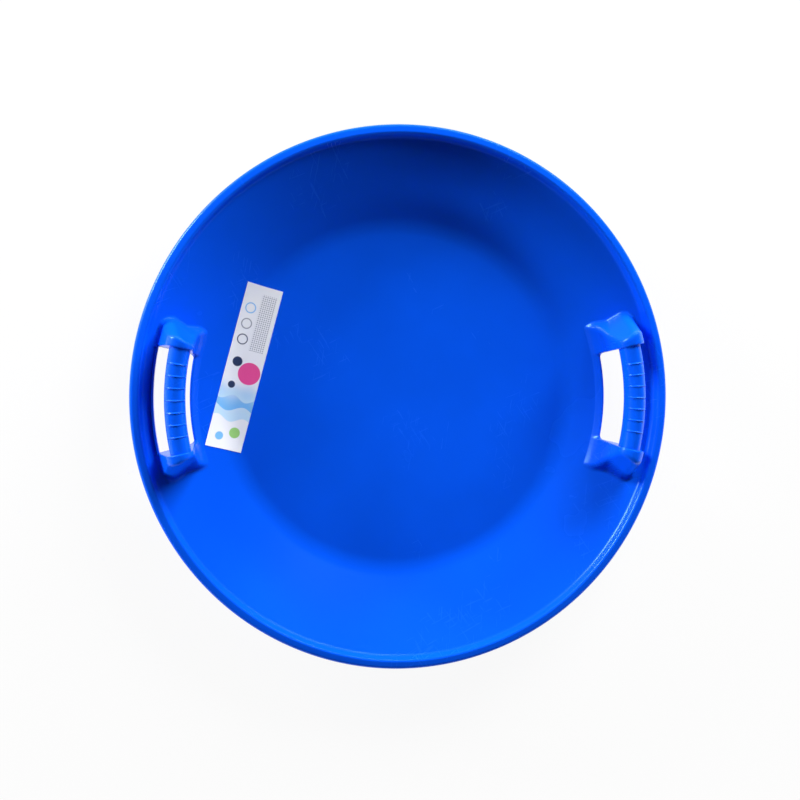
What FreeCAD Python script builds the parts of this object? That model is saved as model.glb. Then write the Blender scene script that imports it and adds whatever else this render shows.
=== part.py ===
import FreeCAD, Part
import math
import os

# Round saucer sled, lying as it is used: +Z up, origin under the middle of the flat floor.
# The handles stand at -X (left) and +X (right), and +Y is the front. Lengths in mm, angles in degrees.

# Dish: a flat floor, a bend and a straight conical wall, measured on the upper side
skin = 2.6
dish_depth = 48.9
wall_width = 90.0
floor_bend_radius = 45.0

# Rim: a short riser above the wall, a rounded crest, a falling band and a turned-down skirt
rim_radius = 300.0
crease_radius = 2.5
riser_length = 5.5
riser_angle = 70.0
crest_inside_radius = 0.6
band_length = 4.4
band_fall_angle = 20.0
edge_inside_radius = 1.6
skirt_length = 8.0

# Hand slot through the wall, with a steeper rail on its inner side and an upright lip on its outer side
slot_inset = 11.0
slot_width = 38.0
slot_length = 106.4
slot_draft = 4.0
rail_width = 9.5
rail_rise = 3.5
slot_edge_radius = 1.5
lip_width = 2.4
lip_rise = 5.0
lip_depth = 6.0

# Posts at the two ends of each slot, hollow from below, each with a round cap over the grip's end
post_length = 34.5
post_draft = 13.5
post_skew = 22.0
foot_draft = 22.0
post_inner_lean = 1.5
post_outer_corner = 10.0
post_edge_radius = 6.0
cap_overhang = 4.0
cap_shift = 1.5
corner_relief = 0.3

# Grip: an arched channel, round on top and open below, standing inside the slot's middle line
grip_shift = 4.0
grip_rise = 58.1
grip_half_width = 11.0
grip_side_depth = 8.5
grip_skin = 2.6

# Ribs across the grip
rib_count = 7
rib_pitch = 12.7
rib_width = 1.6
rib_height = 0.9
rib_reach_angle = 72.0

# Sticker laid over the bend between floor and wall, one corner close to the left rail
label_length = 187.0
label_width = 41.0
label_thickness = 0.3
label_glue = 0.2
label_gap = 0.5
label_bearing = 193.0
label_turn = 15.0

# Cuts run this far past what they cut, and faces closer than the tolerance are joined as one
overrun = 5.0
join_tolerance = 0.001


def sine(angle):
    return math.sin(math.radians(angle))


def cosine(angle):
    return math.cos(math.radians(angle))


def tangent(angle):
    return math.tan(math.radians(angle))


def wall_height(radius):
    return wall_top_height - (wall_top_radius - radius) * tangent(wall_slope)


def wall_underside(radius):
    return wall_height(radius) - skin / cosine(wall_slope)


# Values that follow from those above
wall_slope = math.degrees(math.atan2(dish_depth, wall_width))
crest_radius = crest_inside_radius + skin
edge_radius = edge_inside_radius + skin
crease_reach = crease_radius * (sine(riser_angle) - sine(wall_slope))
riser_reach = riser_length * cosine(riser_angle)
crest_reach = crest_radius * (sine(riser_angle) + sine(band_fall_angle))
band_reach = band_length * cosine(band_fall_angle)
edge_reach = edge_radius * (1 - sine(band_fall_angle))
wall_top_radius = rim_radius - crease_reach - riser_reach - crest_reach - band_reach - edge_reach
wall_top_height = skin + dish_depth
floor_radius = wall_top_radius - wall_width
bend_tangent = floor_bend_radius * tangent(wall_slope / 2)
flat_radius = floor_radius - bend_tangent
wall_run = math.hypot(wall_width, dish_depth) - bend_tangent
slot_outer_radius = wall_top_radius - slot_inset
slot_inner_radius = slot_outer_radius - slot_width
frame_inner_radius = slot_inner_radius - rail_width
frame_outer_radius = slot_outer_radius + lip_width
rail_foot_height = wall_height(frame_inner_radius)
rail_height = wall_height(slot_inner_radius) + rail_rise
rail_slope = math.degrees(math.atan2(rail_height - rail_foot_height, rail_width))
grip_centre_radius = (slot_inner_radius + slot_outer_radius) / 2 - grip_shift
grip_centre_height = rail_height + grip_rise
cap_radius = grip_half_width + cap_overhang
cap_centre_radius = grip_centre_radius + cap_shift
cap_centre_height = grip_centre_height - cap_shift
top_height = cap_centre_height + cap_radius
slot_half_angle = math.degrees(slot_length / grip_centre_radius) / 2
post_half_angle = slot_half_angle + math.degrees(post_length / grip_centre_radius)
sector_half_angle = (slot_half_angle + post_half_angle) / 2
lip_half_angle = slot_half_angle + math.degrees(skin / slot_outer_radius)
grip_end_shift = grip_rise * tangent(slot_draft) + skin
grip_half_angle = slot_half_angle + math.degrees(grip_end_shift / grip_centre_radius)

ORIGIN = FreeCAD.Vector(0, 0, 0)
X_AXIS = FreeCAD.Vector(1, 0, 0)
Y_AXIS = FreeCAD.Vector(0, 1, 0)
Z_AXIS = FreeCAD.Vector(0, 0, 1)
RIGHT = 0.0
UP = 90.0
LEFT = 180.0
RIGHT_ANGLE = 90.0
FULL_TURN = 360.0


def at(radius, height):
    return FreeCAD.Vector(radius, 0, height)


def direction(heading):
    return at(cosine(heading), sine(heading))


def left_of(heading):
    return at(-sine(heading), cosine(heading))


def line(start, end):
    return Part.LineSegment(start, end).toShape()


def arc(start, middle, end):
    return Part.Arc(start, middle, end).toShape()


def arc_about(centre, radius, start_heading, end_heading):
    headings = (start_heading, (start_heading + end_heading) / 2, end_heading)
    return arc(*[centre + direction(heading) * radius for heading in headings])


def section(edges):
    return Part.Face(Part.Wire(edges))


def outline(points):
    return section([line(a, b) for a, b in zip(points, points[1:] + points[:1])])


def full_ring(face):
    return face.revolve(ORIGIN, Z_AXIS, FULL_TURN)


def sector(face, half_angle):
    start = face.copy()
    start.rotate(ORIGIN, Z_AXIS, -half_angle)
    return start.revolve(ORIGIN, Z_AXIS, 2 * half_angle)


def one_solid(shape):
    if len(shape.Solids) != 1:
        raise ValueError("expected one solid, found %d" % len(shape.Solids))
    return shape.Solids[0]


def run(length):
    return ("run", length, 0.0)


def bend(radius, turn):
    return ("bend", radius, turn)


def sheet_section(start, heading, moves, thickness):
    """Section of a sheet whose upper side runs from start; gives the face, end point and end heading."""
    upper = []
    lower = []
    here = start
    first_under = here - left_of(heading) * thickness
    for kind, size, turn in moves:
        under = here - left_of(heading) * thickness
        if kind == "run":
            there = here + direction(heading) * size
            upper.append(line(here, there))
            lower.append(line(under, there - left_of(heading) * thickness))
        else:
            side = math.copysign(size, turn)
            centre = here + left_of(heading) * side
            half_way = left_of(heading + turn / 2)
            heading = heading + turn
            there = centre - left_of(heading) * side
            there_under = there - left_of(heading) * thickness
            upper.append(arc(here, centre - half_way * side, there))
            lower.append(arc(under, centre - half_way * (side + thickness), there_under))
        here = there
    end_cap = line(here, here - left_of(heading) * thickness)
    start_cap = line(first_under, start)
    return section(upper + [end_cap] + lower[::-1] + [start_cap]), here, heading


def dish_floor():
    return Part.makeCylinder(flat_radius, skin)


def wall_section():
    moves = [bend(floor_bend_radius, wall_slope), run(wall_run)]
    return sheet_section(at(flat_radius, skin), RIGHT, moves, skin)


def rim():
    start, heading = wall_section()[1:]
    moves = [
        bend(crease_radius, riser_angle - wall_slope),
        run(riser_length),
        bend(crest_radius, -riser_angle - band_fall_angle),
        run(band_length),
        bend(edge_radius, band_fall_angle - RIGHT_ANGLE),
        run(skirt_length),
    ]
    return full_ring(sheet_section(start, heading, moves, skin)[0])


def space_below_wall():
    return full_ring(outline([
        at(floor_radius, -overrun),
        at(rim_radius, -overrun),
        at(rim_radius, wall_underside(rim_radius)),
        at(floor_radius, wall_underside(floor_radius)),
    ]))


def rail():
    """Border between the dish and the slot, steeper than the wall, with its slot edge rounded."""
    inner, outer = frame_inner_radius, slot_inner_radius
    foot = at(inner, rail_foot_height)
    crown = at(outer, rail_height)
    reach = slot_edge_radius * tangent((rail_slope + RIGHT_ANGLE) / 2)
    edge_start = crown - direction(rail_slope) * reach
    edge_end = crown - Z_AXIS * reach
    return sector(section([
        line(at(inner, wall_underside(inner)), foot),
        line(foot, edge_start),
        arc_about(edge_end - X_AXIS * slot_edge_radius, slot_edge_radius, rail_slope + UP, RIGHT),
        line(edge_end, at(outer, wall_underside(outer))),
        line(at(outer, wall_underside(outer)), at(inner, wall_underside(inner))),
    ]), sector_half_angle)


def slot_lip():
    """Upright flange along the slot's outer side, reaching above and below the wall."""
    inner, outer = slot_outer_radius, frame_outer_radius
    bottom = wall_underside(inner) - lip_depth
    top = wall_height(outer) + lip_rise
    return sector(outline([
        at(inner, bottom),
        at(outer, bottom),
        at(outer, top),
        at(inner, top),
    ]), lip_half_angle)


def outer_lean_heading():
    """Heading of the post's outer side, from the cap down to the foot on the wall."""
    foot = at(frame_outer_radius, wall_height(frame_outer_radius))
    reach = foot - at(cap_centre_radius, cap_centre_height)
    return math.degrees(math.atan2(reach.z, reach.x) - math.asin(cap_radius / reach.Length))


def flank_radius(side, rise):
    """Radius of the hollow flank that leaves the rail's foot along the rail and meets the steep inner side."""
    foot = at(frame_inner_radius, rail_foot_height)
    return (foot - side).dot(left_of(rise)) / (1 - cosine(rise - rail_slope))


def post_section(inset):
    """Radial section of a post: hollow flank, steep inner side, round cap and leaning outer side."""
    centre = at(cap_centre_radius, cap_centre_height)
    cap = cap_radius - inset
    rise = RIGHT_ANGLE - post_inner_lean
    fall = outer_lean_heading()
    cap_start = centre + left_of(rise) * cap
    cap_end = centre + left_of(fall) * cap
    flank = flank_radius(centre + left_of(rise) * cap_radius, rise)
    pivot = at(frame_inner_radius, rail_foot_height) + left_of(rail_slope) * flank
    flank_start = pivot - left_of(rail_slope) * (flank + inset)
    flank_middle = pivot - left_of((rail_slope + rise) / 2) * (flank + inset)
    flank_end = pivot - left_of(rise) * (flank + inset)
    foot = cap_end + direction(fall) * ((-overrun - cap_end.z) / sine(fall))
    return section([
        line(at(flank_start.x, -overrun), flank_start),
        arc(flank_start, flank_middle, flank_end),
        line(flank_end, cap_start),
        arc(cap_start, centre + Z_AXIS * cap, cap_end),
        line(cap_end, foot),
        line(foot, at(flank_start.x, -overrun)),
    ])


def half_space(point, outward):
    """Large box that fills the far side of a plane, seen along the plane's outward direction."""
    reach = rim_radius
    box = Part.makeBox(2 * reach, 2 * reach, 2 * reach, FreeCAD.Vector(-reach, -reach, -2 * reach))
    box.Placement = FreeCAD.Placement(point, FreeCAD.Rotation(Z_AXIS, outward))
    return box


def turned(vector, angle):
    return FreeCAD.Rotation(Z_AXIS, angle).multVec(vector)


def post_plane(angle, height, lean, skew, outward):
    """Plane on the ray at an angle, at a height, facing +Y or -Y, leaning back and turned by a skew."""
    point = turned(at(grip_centre_radius, height), angle)
    facing = turned(Y_AXIS * (outward * cosine(lean)) + Z_AXIS * sine(lean), angle + skew)
    return point, facing


def distance_to_planes(edge, planes):
    ends = [vertex.Point for vertex in edge.Vertexes]
    return sum(abs((end - point).dot(facing)) for end in ends for point, facing in planes)


def outer_side_plane(inset):
    """Plane along the post's leaning outer side, close to the far end."""
    angle = post_half_angle - math.degrees(post_outer_corner / frame_outer_radius)
    facing = turned(left_of(outer_lean_heading()), angle)
    point = turned(at(frame_outer_radius, wall_height(frame_outer_radius)), angle)
    return point + facing * (corner_relief - inset), facing


def inner_limit_plane():
    """Upright plane a little outside the grip's middle, which bounds the post's inner half."""
    return turned(at(grip_centre_radius + overrun, 0), post_half_angle), turned(X_AXIS, post_half_angle)


def rounded_end(body, end_plane, inset):
    """Round the edge between a far end and the post's inner side."""
    edges = []
    for edge in body.Edges:
        middle = edge.valueAt((edge.FirstParameter + edge.LastParameter) / 2)
        inside = math.hypot(middle.x, middle.y) < grip_centre_radius
        if inside and middle.z > 0 and distance_to_planes(edge, [end_plane]) < corner_relief:
            edges.append(edge)
    return body.makeFillet(post_edge_radius - inset, edges)


def post_half(inset, draft, skew, outer_plane, corner_radius):
    """Part of a post behind one far end; its outer corner is rounded when it has a radius."""
    point, facing = post_plane(post_half_angle, wall_height(grip_centre_radius), draft, skew, 1)
    end_plane = (point - facing * inset, facing)
    tower = half_space(*end_plane).common(half_space(*outer_plane))
    if corner_radius > 0:
        corner = min(tower.Edges, key=lambda edge: distance_to_planes(edge, [end_plane, outer_plane]))
        tower = tower.makeFillet(corner_radius, [corner])
    body = sector(post_section(inset), 2 * post_half_angle).common(tower)
    return rounded_end(one_solid(body), end_plane, inset)


def post_block(inset):
    """Solid post standing through the wall, or its hollow when inset by the skin."""
    slot_point, slot_facing = post_plane(slot_half_angle, rail_height, slot_draft, 0, -1)
    column = post_half(inset, post_draft, post_skew, outer_side_plane(inset), post_outer_corner - inset)
    foot = post_half(inset, foot_draft, 0, inner_limit_plane(), 0)
    whole = column.fuse([foot], join_tolerance).removeSplitter()
    return one_solid(whole.common(half_space(slot_point - slot_facing * inset, slot_facing)))


def grip_section(half_width, bottom):
    centre = at(grip_centre_radius, grip_centre_height)
    return [
        line(centre + at(-half_width, -bottom), centre + at(-half_width, 0)),
        arc(centre + at(-half_width, 0), centre + at(0, half_width), centre + at(half_width, 0)),
        line(centre + at(half_width, 0), centre + at(half_width, -bottom)),
        line(centre + at(half_width, -bottom), centre + at(-half_width, -bottom)),
    ]


def grip():
    outside = section(grip_section(grip_half_width, grip_side_depth))
    inside = section(grip_section(grip_half_width - grip_skin, grip_side_depth + overrun))
    return sector(outside, grip_half_angle).cut(sector(inside, post_half_angle))


def rib(index):
    """One raised rib across the round top of the grip, fading out towards the grip's sides."""
    centre = at(grip_centre_radius, grip_centre_height)
    left_end = centre + direction(UP + rib_reach_angle) * grip_half_width
    right_end = centre + direction(UP - rib_reach_angle) * grip_half_width
    face = section([
        arc(left_end, centre + Z_AXIS * (grip_half_width + rib_height), right_end),
        arc(right_end, centre + Z_AXIS * grip_half_width, left_end),
    ])
    solid = sector(face, math.degrees(rib_width / grip_centre_radius) / 2)
    solid.rotate(ORIGIN, Z_AXIS, math.degrees(index * rib_pitch / grip_centre_radius))
    return solid


def handle():
    """Pieces of the right handle, and the space that its frame takes in the wall."""
    front_block = post_block(0.0)
    front_hollow = post_block(skin)
    below = space_below_wall()
    front_post = one_solid(front_block.cut(front_hollow).cut(below))
    rear_block = front_block.mirror(ORIGIN, Y_AXIS)
    blocks = front_block.fuse(rear_block)
    middle = (rib_count - 1) / 2
    pieces = {
        "handle_rail": one_solid(rail().cut(blocks)),
        "slot_lip": one_solid(slot_lip().cut(blocks)),
        "front_post": front_post,
        "rear_post": front_post.mirror(ORIGIN, Y_AXIS),
        "grip": one_solid(grip().cut(blocks)),
        "grip_ribs": Part.makeCompound([rib(index - middle) for index in range(rib_count)]),
    }
    window = sector(outline([
        at(frame_inner_radius, -overrun),
        at(frame_outer_radius, -overrun),
        at(frame_outer_radius, top_height),
        at(frame_inner_radius, top_height),
    ]), sector_half_angle)
    return pieces, window.fuse(blocks)


def label():
    """Thin sticker that follows the floor, the bend and the wall under it."""
    rise = label_glue + label_thickness
    moves = [
        run(flat_radius),
        bend(floor_bend_radius - rise, wall_slope),
        run(wall_run),
    ]
    layer = full_ring(sheet_section(at(0, skin + rise), RIGHT, moves, label_thickness)[0])
    patch = Part.makeBox(label_width, label_length, wall_top_height + overrun, at(0, -overrun))
    patch.rotate(ORIGIN, Z_AXIS, -label_turn)
    patch.translate(turned(at(frame_inner_radius - label_gap, 0), label_bearing))
    return one_solid(layer.common(patch))


def build():
    handle_pieces, handle_space = handle()
    wall = full_ring(wall_section()[0])
    wall = wall.cut(handle_space).cut(handle_space.mirror(ORIGIN, X_AXIS))
    nodes = {
        "dish_floor": dish_floor(),
        "dish_wall": one_solid(wall),
        "rim": rim(),
        "label": label(),
    }
    for name, shape in handle_pieces.items():
        nodes["right_" + name] = shape
        nodes["left_" + name] = shape.mirror(ORIGIN, X_AXIS)
    return nodes


os.makedirs("parts", exist_ok=True)
for node, shape in build().items():
    shape.exportStep("parts/%s.step" % node)
    print("%-20s solids %2d  volume %9.0f mm3" % (node, len(shape.Solids), shape.Volume))
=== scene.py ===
import bpy
import bmesh
import math
from mathutils import Matrix, Vector


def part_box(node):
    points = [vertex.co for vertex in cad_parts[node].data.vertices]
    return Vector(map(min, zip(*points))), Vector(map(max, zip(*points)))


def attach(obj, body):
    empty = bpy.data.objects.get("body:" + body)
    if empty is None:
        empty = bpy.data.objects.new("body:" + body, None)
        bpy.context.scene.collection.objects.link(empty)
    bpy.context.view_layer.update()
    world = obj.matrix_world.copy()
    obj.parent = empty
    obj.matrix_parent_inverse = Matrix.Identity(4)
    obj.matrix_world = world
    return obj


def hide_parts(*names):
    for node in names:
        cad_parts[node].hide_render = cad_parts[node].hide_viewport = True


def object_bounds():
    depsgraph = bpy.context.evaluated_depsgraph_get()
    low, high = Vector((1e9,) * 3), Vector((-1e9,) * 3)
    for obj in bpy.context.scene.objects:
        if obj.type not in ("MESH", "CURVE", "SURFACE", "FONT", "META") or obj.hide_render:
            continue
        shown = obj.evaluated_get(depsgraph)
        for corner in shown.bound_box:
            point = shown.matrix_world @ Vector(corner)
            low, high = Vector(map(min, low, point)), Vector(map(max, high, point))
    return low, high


# Saucer sled: a dish with its rim, two handles with ribbed grips, and a sticker, in metres and degrees

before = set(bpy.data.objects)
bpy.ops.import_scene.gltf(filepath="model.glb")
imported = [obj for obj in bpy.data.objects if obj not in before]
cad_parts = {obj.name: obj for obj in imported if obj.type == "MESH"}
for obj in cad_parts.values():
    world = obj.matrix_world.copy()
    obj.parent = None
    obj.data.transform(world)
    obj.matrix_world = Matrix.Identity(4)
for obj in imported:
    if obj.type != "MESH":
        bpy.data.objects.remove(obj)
cad_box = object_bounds()

# Dish, as in the solids but for a softer crease at the foot of the rim and a flatter band on it
skin = 0.0026
dish_depth = 0.0489
wall_width = 0.090
floor_bend_radius = 0.045
crease_radius = 0.0025
soft_crease_radius = 0.007
riser_length = 0.0055
riser_angle = 70.0
crest_radius = 0.0032
band_length = 0.00387
band_fall_angle = 4.0
edge_radius = 0.0042
skirt_length = 0.0092
flat_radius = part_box("dish_floor")[1][0]
wall_slope = math.degrees(math.atan2(dish_depth, wall_width))
bend_tangent = floor_bend_radius * math.tan(math.radians(wall_slope / 2))
wall_top_radius = flat_radius + bend_tangent + wall_width
wall_top_height = skin + dish_depth

# Steps along the dish's section
hub_radius = flat_radius / 8
floor_steps = 14
floor_bend_steps = 16
wall_steps = 2
window_steps = 12
crease_steps = 12
riser_steps = 2
crest_steps = 14
band_steps = 3
edge_steps = 12
skirt_steps = 3
dish_sharp_angle = 40

# Opening left in the dish for each moulded handle
dish_columns = 512
window_columns = 36
window_inner_radius = 0.213
window_outer_radius = 0.282

# Moulding of the handles
handle_parts = ("handle_rail", "front_post", "rear_post")
post_squeeze_angle = 1.9
squeeze_start_angle = 9.0
squeeze_full_angle = 20.3
mould_grain = 0.0009
foot_fillet = 0.0025
mould_smoothing = 0.5
mould_smoothing_rounds = 6
mould_sharp_angle = 50
cone_snap = 0.0006
cone_flat_share = 0.3
cut_margin = 0.02
region_low = (0.17, -0.15, -0.02)
region_high = (0.31, 0.15, 0.08)

# Grip and ribs
grip_half_width = 0.011
grip_skin = 0.0026
grip_edge_radius = 0.001
grip_step = 0.0004
grip_hidden_length = 0.002
grip_side_steps = 6
grip_arc_steps = 28
rib_count = 7
rib_pitch = 0.0127
rib_half_width = 0.001
rib_height = 0.0009
rib_reach_angle = 72.0
rib_end_power = 6

# Sticker
label_length = 0.187
label_width = 0.041
label_low = 0.0002
label_high = 0.0005
label_cell = 0.002
label_corner_radius = 0.2265
label_bearing = 193.0
label_turn = 15.0
label_sharp_angle = 40

# Plastic and film
plastic_colour = (0.0012, 0.09, 0.82, 1)
plastic_scuff_colour = (0.012, 0.14, 0.86, 1)
plastic_roughness = 0.26
plastic_specular = 0.5
plastic_gloss_tint = (0.3, 0.65, 1.0, 1)
plastic_tone_share = 0.05
plastic_scuff_share = 0.08
plastic_relief = 0.03
film_white = (0.9, 0.92, 0.94, 1)
film_scuff_colour = (0.8, 0.82, 0.84, 1)
film_roughness = 0.36
film_tone_share = 0.03
film_scuff_share = 0.15
film_relief = 0.08

# Marks of handling on both: uneven tone, patches of scuffs in three directions, and grain
tone_scale = 7.0
tone_detail = 3.0
tone_limits = (0.3, 0.7)
fine_detail = 2.0
patch_scale = 11.0
patch_limits = (0.56, 0.74)
scuff_lines = (((30, 420, 30), 24.0), ((26, 380, 26), -58.0), ((24, 460, 24), 81.0))
scuff_limits = (0.63, 0.72)
grain_scale = 420.0
roughness_swing = 0.08
scuff_roughness = 0.15
relief_height = 0.0004

# Print on the sticker: waves from one edge upwards, spots, rings and a field of dots
print_edge = 0.0003
print_sky = (0.2, 0.52, 0.9, 1)
print_pale = (0.55, 0.78, 0.95, 1)
print_pink = (0.86, 0.09, 0.32, 1)
print_navy = (0.03, 0.05, 0.12, 1)
print_green = (0.34, 0.66, 0.2, 1)
print_grey = (0.3, 0.32, 0.36, 1)
# Waves: height, fade, swing, length, shift and colour
print_waves = (
    (0.034, 0.05, 0.003, 0.03, 0.6, print_pale),
    (0.046, 0.034, 0.0035, 0.036, 2.4, print_sky),
    (0.058, 0.016, 0.003, 0.028, 4.0, print_pale),
)
# Spots and rings: place across and along, radius and colour
print_spots = (
    (0.0275, 0.088, 0.0125, print_pink),
    (0.0115, 0.0985, 0.0055, print_navy),
    (0.0115, 0.072, 0.004, print_navy),
    (0.0285, 0.02, 0.006, print_green),
    (0.0125, 0.0135, 0.0045, print_sky),
)
print_rings = (
    (0.0105, 0.124, 0.0055, print_navy),
    (0.0105, 0.142, 0.0055, print_grey),
    (0.0105, 0.16, 0.0055, print_sky),
)
dot_pitch = 0.0046
dot_radius = 0.0007
dot_field_across = (0.02, 0.0365)
dot_field_along = (0.1135, 0.178)

# Camera, fitted to the rim's ellipse and the handles
camera_place = Vector((-0.2294, 0.0376, 1.3311))
camera_aim = Vector((-0.0085, -0.0019, 0.054))
camera_roll = -0.002
camera_lens = 52.92
camera_sensor = 36

# Floor, horizon and lamps: azimuth, elevation, distance, width, height, power, and if gloss shows it
white = (1, 1, 1, 1)
floor_colour = (0.9, 0.9, 0.9, 1)
floor_roughness = 0.8
floor_reach = 20.0
floor_drop = 0.0005
floor_glow_share = 0.93
horizon_full_elevation = 4.0
horizon_end_elevation = 20.0
overhead_strength = 0.01
ambient_share = 0.1
lamps = {
    "left_lamp": (145, 12.5, 2.5, 1.0, 0.45, 74, True),
    "front_softbox": (60, 20, 2.5, 1.5, 1.65, 148, False),
    "rear_strip": (312, 1.6, 2.5, 1.0, 0.1, 25, False),
    "left_strip": (205, 1.6, 2.5, 1.0, 0.1, 40, False),
}


def sine(angle):
    return math.sin(math.radians(angle))


def cosine(angle):
    return math.cos(math.radians(angle))


def smooth_share(value):
    """Smooth step from 0 to 1 as value goes from 0 to 1."""
    value = min(max(value, 0.0), 1.0)
    return value * value * (3 - 2 * value)


# Dish profile

def wall_height(radius):
    return wall_top_height - (wall_top_radius - radius) * math.tan(math.radians(wall_slope))


def wall_underside(radius):
    return wall_height(radius) - skin / cosine(wall_slope)


def floor_height(radius):
    """Height of the dish's upper side over floor, bend and wall."""
    bend_end = flat_radius + floor_bend_radius * sine(wall_slope)
    if radius <= flat_radius:
        return skin
    if radius >= bend_end:
        return wall_height(radius)
    reach = radius - flat_radius
    return skin + floor_bend_radius - math.sqrt(floor_bend_radius ** 2 - reach ** 2)


class Sheet:
    """Section of the skin as pairs of upper and lower points, drawn like a path of runs and bends."""

    def __init__(self, radius, height, heading):
        self.point = Vector((radius, height))
        self.heading = heading
        self.pairs = []
        self.mark()

    def normal(self):
        return Vector((-sine(self.heading), cosine(self.heading)))

    def mark(self):
        self.pairs.append((self.point.copy(), self.point - self.normal() * skin))

    def run(self, length, steps):
        for _ in range(steps):
            self.point += Vector((cosine(self.heading), sine(self.heading))) * (length / steps)
            self.mark()

    def bend(self, radius, turn, steps):
        side = math.copysign(radius, turn)
        centre = self.point + self.normal() * side
        for _ in range(steps):
            self.heading += turn / steps
            self.point = centre - self.normal() * side
            self.mark()


def dish_pairs():
    """Section of the dish from hub to skirt, and the rows between which the windows are left open."""
    sheet = Sheet(hub_radius, skin, 0.0)
    sheet.run(flat_radius - hub_radius, floor_steps)
    sheet.bend(floor_bend_radius, wall_slope, floor_bend_steps)
    slant = cosine(wall_slope)
    first = (window_inner_radius - sheet.point.x) / slant
    middle = (window_outer_radius - window_inner_radius) / slant
    crease_turn = riser_angle - wall_slope
    softening = (soft_crease_radius - crease_radius) * math.tan(math.radians(crease_turn / 2))
    last = (wall_top_radius - window_outer_radius) / slant - softening
    straight = len(sheet.pairs)
    sheet.run(first, wall_steps)
    window_start = len(sheet.pairs) - 1
    sheet.run(middle, window_steps)
    window_end = len(sheet.pairs) - 1
    sheet.run(last, wall_steps)
    for index in range(straight, window_end + 1):
        upper = sheet.pairs[index][0]
        sheet.pairs[index] = (upper, Vector((upper.x, wall_underside(upper.x))))
    sheet.bend(soft_crease_radius, crease_turn, crease_steps)
    sheet.run(riser_length - softening, riser_steps)
    sheet.bend(crest_radius, -riser_angle - band_fall_angle, crest_steps)
    sheet.run(band_length, band_steps)
    sheet.bend(edge_radius, band_fall_angle - 90.0, edge_steps)
    sheet.run(skirt_length, skirt_steps)
    return sheet.pairs, window_start, window_end


# Mesh helpers

def add_object(name, mesh):
    piece = bpy.data.objects.new(name, mesh)
    bpy.context.scene.collection.objects.link(piece)
    return piece


def mesh_from(name, points, faces):
    mesh = bpy.data.meshes.new(name)
    mesh.from_pydata([tuple(point) for point in points], [], faces)
    mesh.validate()
    return mesh


def closed_mesh(name, points, faces):
    """Mesh with all its faces turned outwards."""
    mesh = mesh_from(name, points, faces)
    shape = bmesh.new()
    shape.from_mesh(mesh)
    bmesh.ops.recalc_face_normals(shape, faces=shape.faces)
    shape.to_mesh(mesh)
    shape.free()
    return mesh


def finish_piece(piece, slot, sharp_angle, *nodes):
    mesh = piece.data
    mesh.shade_smooth()
    mesh.set_sharp_from_angle(angle=math.radians(sharp_angle))
    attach(piece, "root")
    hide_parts(*nodes)


def turned_point(radius, angle, height):
    return Vector((radius * cosine(angle), radius * sine(angle), height))


def with_modifiers(name, mesh, *settings):
    """New mesh after a chain of modifiers, each given as its kind and its values."""
    worker = add_object(name, mesh)
    for kind, values in settings:
        modifier = worker.modifiers.new(kind, kind)
        for key, value in values.items():
            setattr(modifier, key, value)
    graph = bpy.context.evaluated_depsgraph_get()
    result = bpy.data.meshes.new_from_object(worker.evaluated_get(graph))
    bpy.data.objects.remove(worker)
    return result


# Dish

def in_window(column):
    column = column % dish_columns
    half = dish_columns // 2
    near_right = min(column, dish_columns - 1 - column) < window_columns
    near_left = -window_columns <= column - half < window_columns
    return near_right or near_left


def build_dish():
    pairs, window_start, window_end = dish_pairs()
    rows = len(pairs)
    points = []
    for side in (0, 1):
        for pair in pairs:
            for column in range(dish_columns):
                points.append(turned_point(pair[side].x, 360.0 * column / dish_columns, pair[side].y))
    points += [(0, 0, skin), (0, 0, 0)]

    def spot(side, row, column):
        return (side * rows + row) * dish_columns + column % dish_columns

    def edge_along(row, column):
        return spot(0, row, column), spot(1, row, column), spot(1, row, column + 1), spot(0, row, column + 1)

    def edge_across(row, column):
        return spot(0, row, column), spot(0, row + 1, column), spot(1, row + 1, column), spot(1, row, column)

    faces = []
    for column in range(dish_columns):
        after = column + 1
        faces.append((len(points) - 2, spot(0, 0, column), spot(0, 0, after)))
        faces.append((len(points) - 1, spot(1, 0, after), spot(1, 0, column)))
        faces.append(edge_along(rows - 1, column))
        for row in range(rows - 1):
            if in_window(column) and window_start <= row < window_end:
                for near, here in ((in_window(column - 1), column), (in_window(after), after)):
                    if not near:
                        faces.append(edge_across(row, here))
                continue
            for side in (0, 1):
                low, high = (row, row + 1) if side == 0 else (row + 1, row)
                ring = [spot(side, low, column), spot(side, high, column)]
                ring += [spot(side, high, after), spot(side, low, after)]
                faces.append(tuple(ring))
        if in_window(column):
            faces += [edge_along(window_start, column), edge_along(window_end, column)]
    return add_object("sled_dish", closed_mesh("sled_dish", points, faces))


# Moulded handles

def sector_block(name):
    """Upright block over the dish's right window, with the dish's own columns along its arcs."""
    angles = [360.0 * step / dish_columns for step in range(-window_columns, window_columns + 1)]
    low, high = cad_box[0][2] - cut_margin, cad_box[1][2] + cut_margin
    ring = [(window_inner_radius, angle) for angle in angles]
    ring += [(window_outer_radius, angle) for angle in reversed(angles)]
    count = len(ring)
    points = [turned_point(radius, angle, height) for height in (low, high) for radius, angle in ring]
    faces = [tuple(range(count)), tuple(range(2 * count - 1, count - 1, -1))]
    faces += [(i, count + i, count + (i + 1) % count, (i + 1) % count) for i in range(count)]
    return add_object(name, closed_mesh(name, points, faces))


def joined(name, meshes):
    whole = bmesh.new()
    for mesh in meshes:
        whole.from_mesh(mesh)
    bmesh.ops.triangulate(whole, faces=whole.faces)
    result = bpy.data.meshes.new(name)
    whole.to_mesh(result)
    whole.free()
    return result


def region_box(name):
    spans = list(zip(region_low, region_high))
    points = [(x, y, z) for x in spans[0] for y in spans[1] for z in spans[2]]
    faces = [(0, 1, 3, 2), (4, 6, 7, 5), (0, 4, 5, 1), (2, 3, 7, 6), (0, 2, 6, 4), (1, 5, 7, 3)]
    return add_object(name, closed_mesh(name, points, faces))


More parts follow.
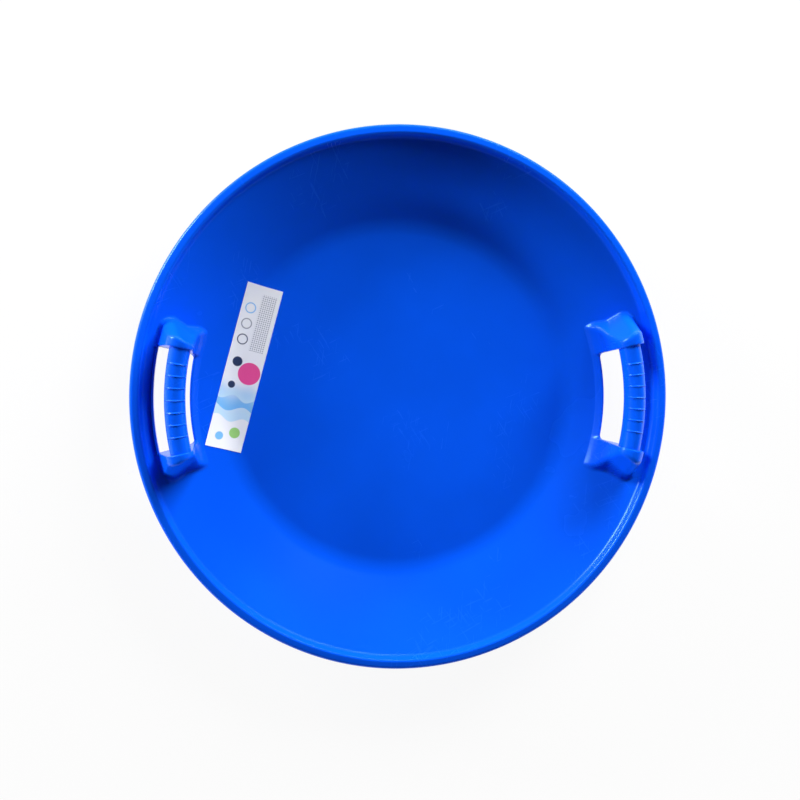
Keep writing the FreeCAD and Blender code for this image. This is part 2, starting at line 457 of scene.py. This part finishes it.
def settle_on_cone(mesh):
    """Lay the plain wall round the handle exactly on the dish's cone, above and below."""
    for vertex in mesh.vertices:
        radius = math.hypot(vertex.co.x, vertex.co.y)
        for height in (wall_height(radius), wall_underside(radius)):
            away = vertex.co.z - height
            if abs(away) < cone_snap:
                vertex.co.z = height + away * smooth_share(abs(away) / cone_snap - cone_flat_share)


def moulded_handle():
    """Mesh of the right handle: posts, rail and the wall round them, with soft fillets at their feet."""
    box = region_box("handle_region")
    wall = with_modifiers("wall_near_handle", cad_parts["dish_wall"].data.copy(), (
        "BOOLEAN", {"operation": "INTERSECT", "object": box, "solver": "EXACT"}))
    mesh = joined("handle_parts", [wall] + [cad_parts["right_" + part].data for part in handle_parts])
    remesh = ("REMESH", {"mode": "VOXEL", "voxel_size": mould_grain, "use_smooth_shade": True})
    mesh = with_modifiers(
        "handle_mould", mesh,
        remesh,
        ("DISPLACE", {"strength": foot_fillet, "mid_level": 0.0}),
        remesh,
        ("DISPLACE", {"strength": -foot_fillet, "mid_level": 0.0}),
        ("SMOOTH", {"factor": mould_smoothing, "iterations": mould_smoothing_rounds}),
    )
    block = sector_block("handle_block")
    mesh = with_modifiers("handle_cut", mesh, (
        "BOOLEAN", {"operation": "INTERSECT", "object": block, "solver": "EXACT"}))
    settle_on_cone(mesh)
    bpy.data.objects.remove(box)
    bpy.data.objects.remove(block)
    mesh.materials.clear()
    return mesh


def mirrored(mesh):
    """Copy of a mesh on the other side of the sled."""
    copy = mesh.copy()
    copy.transform(Matrix.Scale(-1, 4, Vector((1, 0, 0))))
    copy.flip_normals()
    return copy


def shorten_posts(mesh):
    """Turn the posts' far ends towards the slot about the dish's axis, so that the wall stays a cone."""
    window_angle = 360.0 * window_columns / dish_columns
    squeeze_span = squeeze_full_angle - squeeze_start_angle
    for vertex in mesh.vertices:
        place = vertex.co
        bearing = math.degrees(math.atan2(place.y, abs(place.x)))
        rising = smooth_share((abs(bearing) - squeeze_start_angle) / squeeze_span)
        falling = smooth_share((window_angle - abs(bearing)) / (window_angle - squeeze_full_angle))
        turn = math.copysign(post_squeeze_angle * rising * falling, place.x * bearing)
        place.rotate(Matrix.Rotation(math.radians(-turn), 3, "Z"))


# Grips

def grip_outline():
    """Closed grip section as points from the middle: across, up, and how far a rib lifts the point."""
    low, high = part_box("right_grip")
    depth = (high[2] - grip_half_width) - low[2]
    inner = grip_half_width - grip_skin
    straight = depth - grip_edge_radius
    side_heights = [-straight + straight * step / grip_side_steps for step in range(grip_side_steps)]
    points = [(grip_half_width, height, 0.0) for height in side_heights]
    for step in range(grip_arc_steps + 1):
        angle = 180.0 * step / grip_arc_steps
        share = max(1 - ((angle - 90.0) / rib_reach_angle) ** rib_end_power, 0.0)
        points.append((grip_half_width * cosine(angle), grip_half_width * sine(angle), share))
    points += [(-grip_half_width, height, 0.0) for height in reversed(side_heights)]
    points.append((-grip_half_width + grip_edge_radius, -depth, 0.0))
    points.append((-inner, -depth, 0.0))
    for step in range(grip_arc_steps // 2 + 1):
        angle = 180.0 - 360.0 * step / grip_arc_steps
        points.append((inner * cosine(angle), inner * sine(angle), 0.0))
    points.append((inner, -depth, 0.0))
    points.append((grip_half_width - grip_edge_radius, -depth, 0.0))
    return points


def rib_lift(along):
    middle = (rib_count - 1) / 2
    nearest = min(max(round(along / rib_pitch), -middle), middle) * rib_pitch
    return rib_height * (1 - smooth_share(abs(along - nearest) / rib_half_width))


def ribbed_grip():
    """Mesh of the right grip, a bent channel that swells at each rib."""
    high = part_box("right_grip")[1]
    centre_radius = high[0] - grip_half_width
    centre_height = high[2] - grip_half_width
    outline = grip_outline()
    half_length = math.asin(high[1] / high[0]) * centre_radius + grip_hidden_length
    steps = round(2 * half_length / grip_step)
    points = []
    for step in range(steps + 1):
        along = -half_length + 2 * half_length * step / steps
        angle = math.degrees(along / centre_radius)
        lift = rib_lift(along)
        for across, up, share in outline:
            stretch = 1 + lift * share / grip_half_width
            points.append(turned_point(centre_radius + across * stretch, angle, centre_height + up * stretch))
    count = len(outline)
    faces = []
    for step in range(steps):
        here = step * count
        ahead = here + count
        for index in range(count):
            after = (index + 1) % count
            faces.append((here + index, here + after, ahead + after, ahead + index))
    faces.append(tuple(range(count)))
    faces.append(tuple(steps * count + index for index in range(count)))
    return closed_mesh("ribbed_grip", points, faces)


# Sticker

def build_sticker():
    corner = turned_point(label_corner_radius, label_bearing, 0)
    across = turned_point(1.0, -label_turn, 0)
    along = turned_point(1.0, 90.0 - label_turn, 0)
    columns = round(label_width / label_cell)
    rows = round(label_length / label_cell)
    points = []
    places = []
    for rise in (label_high, label_low):
        for row in range(rows + 1):
            for column in range(columns + 1):
                share = (column / columns, row / rows)
                spot = corner + across * (label_width * share[0]) + along * (label_length * share[1])
                points.append((spot.x, spot.y, floor_height(math.hypot(spot.x, spot.y)) + rise))
                places.append(share)
    layer = (rows + 1) * (columns + 1)

    def spot_index(row, column):
        return row * (columns + 1) + column

    faces = []
    for row in range(rows):
        for column in range(columns):
            ring = [spot_index(row, column), spot_index(row, column + 1)]
            ring += [spot_index(row + 1, column + 1), spot_index(row + 1, column)]
            faces.append(tuple(ring))
            faces.append(tuple(layer + index for index in reversed(ring)))
    border = [spot_index(0, column) for column in range(columns)]
    border += [spot_index(row, columns) for row in range(rows)]
    border += [spot_index(rows, column) for column in range(columns, 0, -1)]
    border += [spot_index(row, 0) for row in range(rows, 0, -1)]
    for index, here in enumerate(border):
        after = border[(index + 1) % len(border)]
        faces.append((here, layer + here, layer + after, after))
    mesh = mesh_from("sticker", points, faces)
    layout = mesh.uv_layers.new(name="sticker_layout")
    for loop in mesh.loops:
        layout.data[loop.index].uv = places[loop.vertex_index]
    return add_object("sticker", mesh)


# Materials

class Recipe:
    """Lays out shader nodes in one tree; values may be numbers or sockets."""

    def __init__(self, tree):
        self.tree = tree

    def add(self, kind, **settings):
        node = self.tree.nodes.new(kind)
        for key, value in settings.items():
            setattr(node, key, value)
        return node

    def feed(self, socket, value):
        if isinstance(value, bpy.types.NodeSocket):
            self.tree.links.new(value, socket)
        else:
            socket.default_value = value

    def math(self, operation, *values):
        node = self.add("ShaderNodeMath", operation=operation)
        for socket, value in zip(node.inputs, values):
            self.feed(socket, value)
        return node.outputs[0]

    def ramp(self, value, start, end, low, high):
        """Smooth change from low to high as the value goes from start to end."""
        node = self.add("ShaderNodeMapRange", interpolation_type="SMOOTHSTEP")
        for socket, number in zip(node.inputs, (value, start, end, low, high)):
            self.feed(socket, number)
        return node.outputs[0]

    def blend(self, share, first, second, kind="MIX"):
        """Mix of two colours, which the node takes in sockets 6 and 7 and gives in socket 2."""
        node = self.add("ShaderNodeMix", data_type="RGBA", blend_type=kind)
        for index, value in ((0, share), (6, first), (7, second)):
            self.feed(node.inputs[index], value)
        return node.outputs[2]

    def noise(self, place, scale, detail, stretch=(1, 1, 1), turn=0.0):
        """Noise on a place that is turned first and then stretched."""
        mapping = self.add("ShaderNodeMapping", vector_type="TEXTURE")
        mapping.inputs["Scale"].default_value = [1 / share for share in stretch]
        mapping.inputs["Rotation"].default_value = (0, 0, math.radians(turn))
        self.feed(mapping.inputs["Vector"], place)
        node = self.add("ShaderNodeTexNoise")
        node.inputs["Scale"].default_value = scale
        node.inputs["Detail"].default_value = detail
        self.feed(node.inputs["Vector"], mapping.outputs[0])
        return node.outputs[0]


def handling_marks():
    """Node group shared by the materials: uneven tone, fine scuffs and a fine grain."""
    group = bpy.data.node_groups.new("handling_marks", "ShaderNodeTree")
    group.interface.new_socket("Place", in_out="INPUT", socket_type="NodeSocketVector")
    for name in ("Tone", "Scuffs", "Grain"):
        group.interface.new_socket(name, in_out="OUTPUT", socket_type="NodeSocketFloat")
    recipe = Recipe(group)
    place = recipe.add("NodeGroupInput").outputs["Place"]
    end = recipe.add("NodeGroupOutput")
    recipe.feed(end.inputs["Tone"], recipe.noise(place, tone_scale, tone_detail))
    patches = recipe.ramp(recipe.noise(place, patch_scale, fine_detail), *patch_limits, 0.0, 1.0)
    lines = []
    for stretch, turn in scuff_lines:
        streaks = recipe.noise(place, 1.0, fine_detail, stretch, turn)
        lines.append(recipe.ramp(streaks, *scuff_limits, 0.0, 1.0))
    strongest = recipe.math("MAXIMUM", recipe.math("MAXIMUM", lines[0], lines[1]), lines[2])
    recipe.feed(end.inputs["Scuffs"], recipe.math("MULTIPLY", strongest, patches))
    recipe.feed(end.inputs["Grain"], recipe.noise(place, grain_scale, fine_detail))
    return group


def new_material(name):
    material = bpy.data.materials.new(name)
    material.use_nodes = True
    return material, Recipe(material.node_tree), material.node_tree.nodes["Principled BSDF"]


def with_marks(recipe, group, bsdf, colour, scuff_colour, roughness, tone_share, scuff_share, relief):
    """Lay the shared marks over a colour and feed colour, roughness and relief."""
    marks = recipe.add("ShaderNodeGroup", node_tree=group)
    recipe.feed(marks.inputs["Place"], recipe.add("ShaderNodeTexCoord").outputs["Object"])
    tone = recipe.ramp(marks.outputs["Tone"], *tone_limits, 1 - tone_share, 1 + tone_share)
    toned = recipe.blend(1.0, colour, tone, "MULTIPLY")
    share = recipe.math("MULTIPLY", marks.outputs["Scuffs"], scuff_share)
    recipe.feed(bsdf.inputs["Base Color"], recipe.blend(share, toned, scuff_colour))
    least = roughness - roughness_swing / 2
    uneven = recipe.math("MULTIPLY_ADD", marks.outputs["Tone"], roughness_swing, least)
    scuffed = recipe.math("MULTIPLY_ADD", marks.outputs["Scuffs"], scuff_roughness, uneven)
    recipe.feed(bsdf.inputs["Roughness"], scuffed)
    bump = recipe.add("ShaderNodeBump")
    bump.inputs["Strength"].default_value = relief
    bump.inputs["Distance"].default_value = relief_height
    height = recipe.math("SUBTRACT", marks.outputs["Grain"], marks.outputs["Scuffs"])
    recipe.feed(bump.inputs["Height"], height)
    recipe.feed(bsdf.inputs["Normal"], bump.outputs[0])


def blue_plastic(group):
    material, recipe, bsdf = new_material("blue_plastic")
    bsdf.inputs["Specular IOR Level"].default_value = plastic_specular
    bsdf.inputs["Specular Tint"].default_value = plastic_gloss_tint
    shares = (plastic_tone_share, plastic_scuff_share, plastic_relief)
    with_marks(recipe, group, bsdf, plastic_colour, plastic_scuff_colour, plastic_roughness, *shares)
    return material


def sticker_film(group):
    """White film with soft blue waves, round spots, rings and small dots."""
    material, recipe, bsdf = new_material("sticker_film")
    layout = recipe.add("ShaderNodeUVMap", uv_map="sticker_layout")
    split = recipe.add("ShaderNodeSeparateXYZ")
    recipe.feed(split.inputs[0], layout.outputs[0])
    across = recipe.math("MULTIPLY", split.outputs[0], label_width)
    along = recipe.math("MULTIPLY", split.outputs[1], label_length)

    def distance_to(centre_across, centre_along):
        aside = recipe.math("POWER", recipe.math("SUBTRACT", across, centre_across), 2.0)
        ahead = recipe.math("POWER", recipe.math("SUBTRACT", along, centre_along), 2.0)
        return recipe.math("SQRT", recipe.math("ADD", aside, ahead))

    def wave(height, swing, length, shift):
        turn = recipe.math("MULTIPLY_ADD", across, 2 * math.pi / length, shift)
        level = recipe.math("MULTIPLY_ADD", recipe.math("SINE", turn), swing, height)
        return recipe.math("SUBTRACT", along, level)

    colour = film_white
    for height, fade, swing, length, shift, tint in print_waves:
        over = wave(height, swing, length, shift)
        lower_edge = recipe.ramp(over, -print_edge, print_edge, 0.0, 1.0)
        upper_fade = recipe.ramp(over, 0.0, fade, 1.0, 0.0)
        colour = recipe.blend(recipe.math("MULTIPLY", lower_edge, upper_fade), colour, tint)
    for centre_across, centre_along, radius, tint in print_spots:
        away = distance_to(centre_across, centre_along)
        inside = recipe.ramp(away, radius - print_edge, radius + print_edge, 1.0, 0.0)
        colour = recipe.blend(inside, colour, tint)
    for centre_across, centre_along, radius, tint in print_rings:
        past = recipe.math("SUBTRACT", distance_to(centre_across, centre_along), radius)
        ring = recipe.ramp(recipe.math("ABSOLUTE", past), print_edge, 3 * print_edge, 1.0, 0.0)
        colour = recipe.blend(ring, colour, tint)
    cell_across = recipe.math("SUBTRACT", recipe.math("PINGPONG", across, dot_pitch / 2), dot_pitch / 4)
    cell_along = recipe.math("SUBTRACT", recipe.math("PINGPONG", along, dot_pitch / 2), dot_pitch / 4)
    away = recipe.math("SQRT", recipe.math(
        "ADD", recipe.math("POWER", cell_across, 2.0), recipe.math("POWER", cell_along, 2.0)))
    dots = recipe.ramp(away, dot_radius - print_edge, dot_radius + print_edge, 1.0, 0.0)
    for value, low, high in ((across, *dot_field_across), (along, *dot_field_along)):
        dots = recipe.math("MULTIPLY", dots, recipe.math("GREATER_THAN", value, low))
        dots = recipe.math("MULTIPLY", dots, recipe.math("LESS_THAN", value, high))
    colour = recipe.blend(dots, colour, print_grey)
    shares = (film_tone_share, film_scuff_share, film_relief)
    with_marks(recipe, group, bsdf, colour, film_scuff_colour, film_roughness, *shares)
    return material


# Camera, floor and light

def add_camera():
    ahead = (camera_aim - camera_place).normalized()
    right = ahead.cross(Vector((0, 1, 0))).normalized()
    up = right.cross(ahead)
    cos_roll, sin_roll = math.cos(camera_roll), math.sin(camera_roll)
    right, up = right * cos_roll + up * sin_roll, up * cos_roll - right * sin_roll
    data = bpy.data.cameras.new("camera")
    data.lens = camera_lens
    data.sensor_width = camera_sensor
    camera = add_object("camera", data)
    turn = Matrix((right, up, -ahead)).transposed()
    camera.matrix_world = Matrix.Translation(camera_place) @ turn.to_4x4()
    bpy.context.scene.camera = camera


def seen_rays(recipe):
    """1 on rays that come from the camera straight, or by way of gloss or glass."""
    path = recipe.add("ShaderNodeLightPath")
    seen = recipe.math("MAXIMUM", path.outputs["Is Camera Ray"], path.outputs["Is Glossy Ray"])
    return recipe.math("MAXIMUM", seen, path.outputs["Is Transmission Ray"])


def add_floor():
    corners = ((-1, -1), (1, -1), (1, 1), (-1, 1))
    points = [(x * floor_reach, y * floor_reach, -floor_drop) for x, y in corners]
    floor = add_object("floor", mesh_from("floor", points, [(0, 1, 2, 3)]))
    material, recipe, paper = new_material("white_floor")
    paper.inputs["Base Color"].default_value = floor_colour
    paper.inputs["Roughness"].default_value = floor_roughness
    glow = recipe.add("ShaderNodeEmission")
    mix = recipe.add("ShaderNodeMixShader")
    recipe.feed(mix.inputs[0], recipe.math("MULTIPLY", seen_rays(recipe), floor_glow_share))
    recipe.feed(mix.inputs[1], paper.outputs[0])
    recipe.feed(mix.inputs[2], glow.outputs[0])
    recipe.feed(material.node_tree.nodes["Material Output"].inputs["Surface"], mix.outputs[0])
    floor.data.materials.append(material)


def add_world():
    """White to the camera, white at the horizon and dark overhead in gloss, and a weak even sky otherwise."""
    world = bpy.data.worlds.new("studio")
    world.use_nodes = True
    recipe = Recipe(world.node_tree)
    background = world.node_tree.nodes["Background"]
    split = recipe.add("ShaderNodeSeparateXYZ")
    recipe.feed(split.inputs[0], recipe.add("ShaderNodeTexCoord").outputs["Generated"])
    limits = (sine(horizon_full_elevation), sine(horizon_end_elevation))
    horizon = recipe.ramp(split.outputs[2], *limits, 1.0, overhead_strength)
    background.inputs["Color"].default_value = white
    path = recipe.add("ShaderNodeLightPath")
    mirrored_ray = recipe.math("MAXIMUM", path.outputs["Is Glossy Ray"], path.outputs["Is Transmission Ray"])
    beyond_sky = recipe.math("SUBTRACT", horizon, ambient_share)
    strength = recipe.math("MULTIPLY_ADD", mirrored_ray, beyond_sky, ambient_share)
    strength = recipe.math("MAXIMUM", strength, path.outputs["Is Camera Ray"])
    recipe.feed(background.inputs["Strength"], strength)
    bpy.context.scene.world = world


def add_lamp(name, azimuth, elevation, distance, width, height, power, glossy):
    place = turned_point(distance * cosine(elevation), azimuth, distance * sine(elevation))
    light = bpy.data.lights.new(name, "AREA")
    light.shape = "RECTANGLE"
    light.energy = power
    light.size = width
    light.size_y = height
    lamp = add_object(name, light)
    lamp.location = place
    lamp.rotation_euler = (-place).to_track_quat("-Z", "Y").to_euler()
    lamp.visible_glossy = glossy


marks = handling_marks()
plastic = blue_plastic(marks)
film = sticker_film(marks)
dish = build_dish()
dish.data.materials.append(plastic)
finish_piece(dish, "sled_plastic", dish_sharp_angle, "dish_floor", "dish_wall", "rim")
handle_mesh = moulded_handle()
grip_mesh = ribbed_grip()
for side in ("right", "left"):
    handle = add_object(side + "_handle", handle_mesh if side == "right" else mirrored(handle_mesh))
    if side == "left":
        shorten_posts(handle.data)
    handle.data.materials.append(plastic)
    finish_piece(handle, "sled_plastic", mould_sharp_angle, *[side + "_" + part for part in handle_parts])
    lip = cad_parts[side + "_slot_lip"]
    lip.data.materials.clear()
    lip.data.materials.append(plastic)
    grip = add_object(side + "_ribbed_grip", grip_mesh if side == "right" else mirrored(grip_mesh))
    grip.data.materials.append(plastic)
    finish_piece(grip, "sled_plastic", mould_sharp_angle, side + "_grip", side + "_grip_ribs")
sticker = build_sticker()
sticker.data.materials.append(film)
finish_piece(sticker, "label_film", label_sharp_angle, "label")

add_camera()
add_floor()
add_world()
for name, settings in lamps.items():
    add_lamp(name, *settings)
bpy.context.scene.view_settings.view_transform = "Standard"
